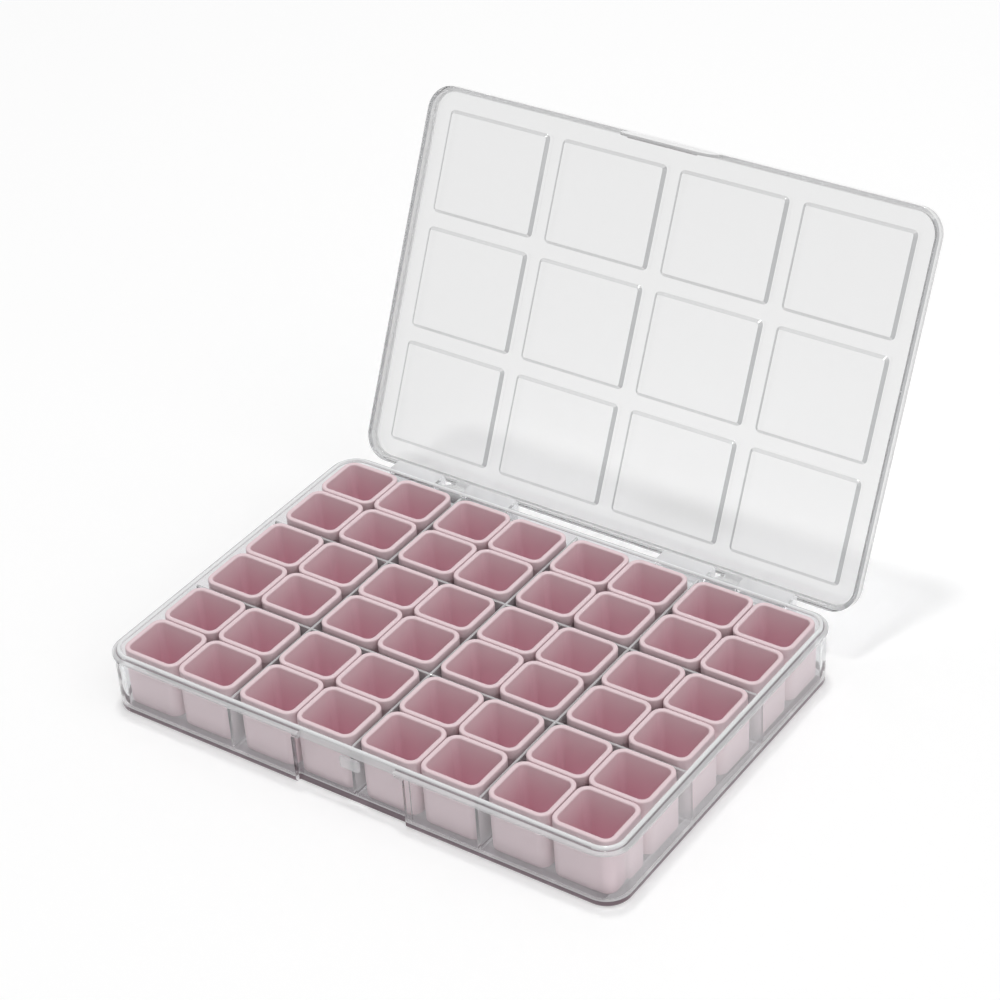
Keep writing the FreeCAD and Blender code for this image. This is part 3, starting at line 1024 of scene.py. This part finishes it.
    def milkiness(self, middle: Vector, way: Vector) -> float:
        """How milky a face of the shut lid is: the tab, the clips and the skirt scatter light, the rest hardly."""
        if middle.z < self.bottom - SLACK:
            return self.tab_haze if middle.y < 0 else self.clip_haze
        margin = self.outline.margin_at(middle)
        inside = self.inner_margin - SLACK < margin < self.margin - self.skirt_round
        return self.skirt_haze if inside and middle.z > self.bottom + self.skirt_round else 0.0

    def build(self, finish: bpy.types.Material) -> None:
        """Work every feature into the shell and swing the lid open."""
        lid = self.shell()
        clips = copies(self.clip(), [(side.value * self.hinge_x, 0, 0) for side in Side])
        for solid in [self.panels(), self.tab()] + clips:
            work(lid, solid, Cut.JOIN)
        mark_faces(lid, ClearPolystyrene.EDGE, self.edge_shade)
        mark_faces(lid, ClearPolystyrene.HAZE, self.milkiness)
        pivot = Matrix.Translation(metres(0, *self.axis))
        swing = Matrix.Rotation(math.radians(-self.open_angle), 4, "X")
        lid.matrix_world = pivot @ swing @ pivot.inverted()
        apply_place(lid)
        shade(lid)
        settle(lid, "clear_lid", "lid", ["lid"], finish)


@dataclass(frozen=True)
class Lamp:
    """Square lamp that faces the middle of the case, with its power in watts."""

    name: str
    place: Place
    size: float
    power: float


@dataclass
class Studio:
    """Pale floor, soft light and the camera."""

    floor_size: float = 6000.0
    floor_colour: str = "f4f4f4"
    floor_seen: str = "e7e7e7"
    floor_lift: float = 0.29
    sky: float = 0.44
    sky_colour: str = "ffffff"
    lamps: tuple[Lamp, ...] = (Lamp("top_lamp", (-220.0, 300.0, 3000.0), 280.0, 31.0),
                               Lamp("side_lamp", (2200.0, -600.0, 1800.0), 3000.0, 19.0))
    eye: Place = (468.087, -617.156, 609.668)
    aim: Place = (-39.15, 77.0, 20.0)
    roll: float = -3.7
    lens: float = 102.28
    sensor: float = 36.0
    sight: tuple[float, float] = (10.0, 50000.0)

    def seen(self, tree: bpy.types.NodeTree, ray: bpy.types.Node) -> bpy.types.NodeSocket:
        """One for rays that show the background, also in gloss and through clear plastic, and zero for light."""
        shown = add_node(tree, "ShaderNodeMath", None,
                         {0: ray.outputs["Is Camera Ray"], 1: ray.outputs["Is Glossy Ray"]}, operation="MAXIMUM")
        through = add_node(tree, "ShaderNodeMath", None,
                           {0: shown.outputs["Value"], 1: ray.outputs["Is Transmission Ray"]}, operation="MAXIMUM")
        return through.outputs["Value"]

    def floor(self) -> None:
        """Matt white paper, which gives the eye one even white with soft shadows and no sheen."""
        deselect()
        bpy.ops.mesh.primitive_plane_add(size=self.floor_size * MM, location=(0, 0, 0))
        floor = bpy.context.object
        floor.name = "floor"
        material = blank_material("matt_white_paper")
        tree = material.node_tree
        ray = add_node(tree, "ShaderNodeLightPath")
        seen = self.seen(tree, ray)
        colour = add_node(tree, "ShaderNodeMix",
                          {MIX_A: linear(self.floor_colour), MIX_B: linear(self.floor_seen)},
                          {0: seen}, data_type="RGBA")
        base = add_node(tree, "ShaderNodeBsdfDiffuse", None, {"Color": colour.outputs[MIX_OUT]})
        lift = add_node(tree, "ShaderNodeMath", {1: self.floor_lift}, {0: seen}, operation="MULTIPLY")
        glow = add_node(tree, "ShaderNodeEmission", None, {"Strength": lift.outputs["Value"]})
        both = add_node(tree, "ShaderNodeAddShader", None, {0: base.outputs["BSDF"], 1: glow.outputs["Emission"]})
        add_node(tree, "ShaderNodeOutputMaterial", None, {"Surface": both.outputs["Shader"]})
        floor.data.materials.append(material)

    def light(self) -> None:
        """Even sky, with a lamp high over the case and a large soft one beside its right side."""
        world = bpy.data.worlds.new("studio")
        bpy.context.scene.world = world
        world.use_nodes = True
        world.node_tree.nodes.clear()
        tree = world.node_tree
        ray = add_node(tree, "ShaderNodeLightPath")
        level = add_node(tree, "ShaderNodeMapRange", {"To Min": self.sky, "To Max": 1.0},
                         {"Value": self.seen(tree, ray)})
        sky = add_node(tree, "ShaderNodeBackground", {"Color": linear(self.sky_colour)},
                       {"Strength": level.outputs["Result"]})
        add_node(tree, "ShaderNodeOutputWorld", None, {"Surface": sky.outputs["Background"]})
        for lamp in self.lamps:
            bpy.ops.object.light_add(type="AREA", location=metres(*lamp.place))
            made = bpy.context.object
            made.name = lamp.name
            made.data.size = lamp.size * MM
            made.data.energy = lamp.power
            made.rotation_euler = (-made.location).to_track_quat("-Z", "Y").to_euler()

    def camera(self) -> None:
        """Camera at the angle of the photograph."""
        bpy.ops.object.camera_add(location=metres(*self.eye))
        camera = bpy.context.object
        camera.data.sensor_width = self.sensor
        camera.data.lens = self.lens
        camera.data.clip_start, camera.data.clip_end = metres(*self.sight)
        level = (Vector(self.aim) - Vector(self.eye)).to_track_quat("-Z", "Y")
        camera.rotation_euler = (level @ Quaternion((0, 0, 1), math.radians(self.roll))).to_euler()
        bpy.context.scene.camera = camera

    def build(self) -> None:
        """Set up the whole studio."""
        self.floor()
        self.light()
        self.camera()
        bpy.context.scene.view_settings.view_transform = "Standard"


def main() -> None:
    """Build the pieces in order, then the studio."""
    logging.basicConfig(level=logging.INFO, format="%(message)s")
    # The edge colours are painted shade: mauve on the tray, grey on the lid.
    tray_clear = ClearPolystyrene("clear_polystyrene_tray", tint="f0f1f2", edge="6e5862").material()
    lid_clear = ClearPolystyrene("clear_polystyrene_lid", tint="ebebeb", edge="909193", lamp_tint="d0d0d2",
                                 lamp_shade="202022").material()
    pink = PinkPolypropylene().material()
    outline = CaseOutline()
    Tray(outline).build(tray_clear)
    Lid(outline).build(lid_clear)
    Cups().build(pink)
    Studio().build()


if __name__ == "__main__":
    main()
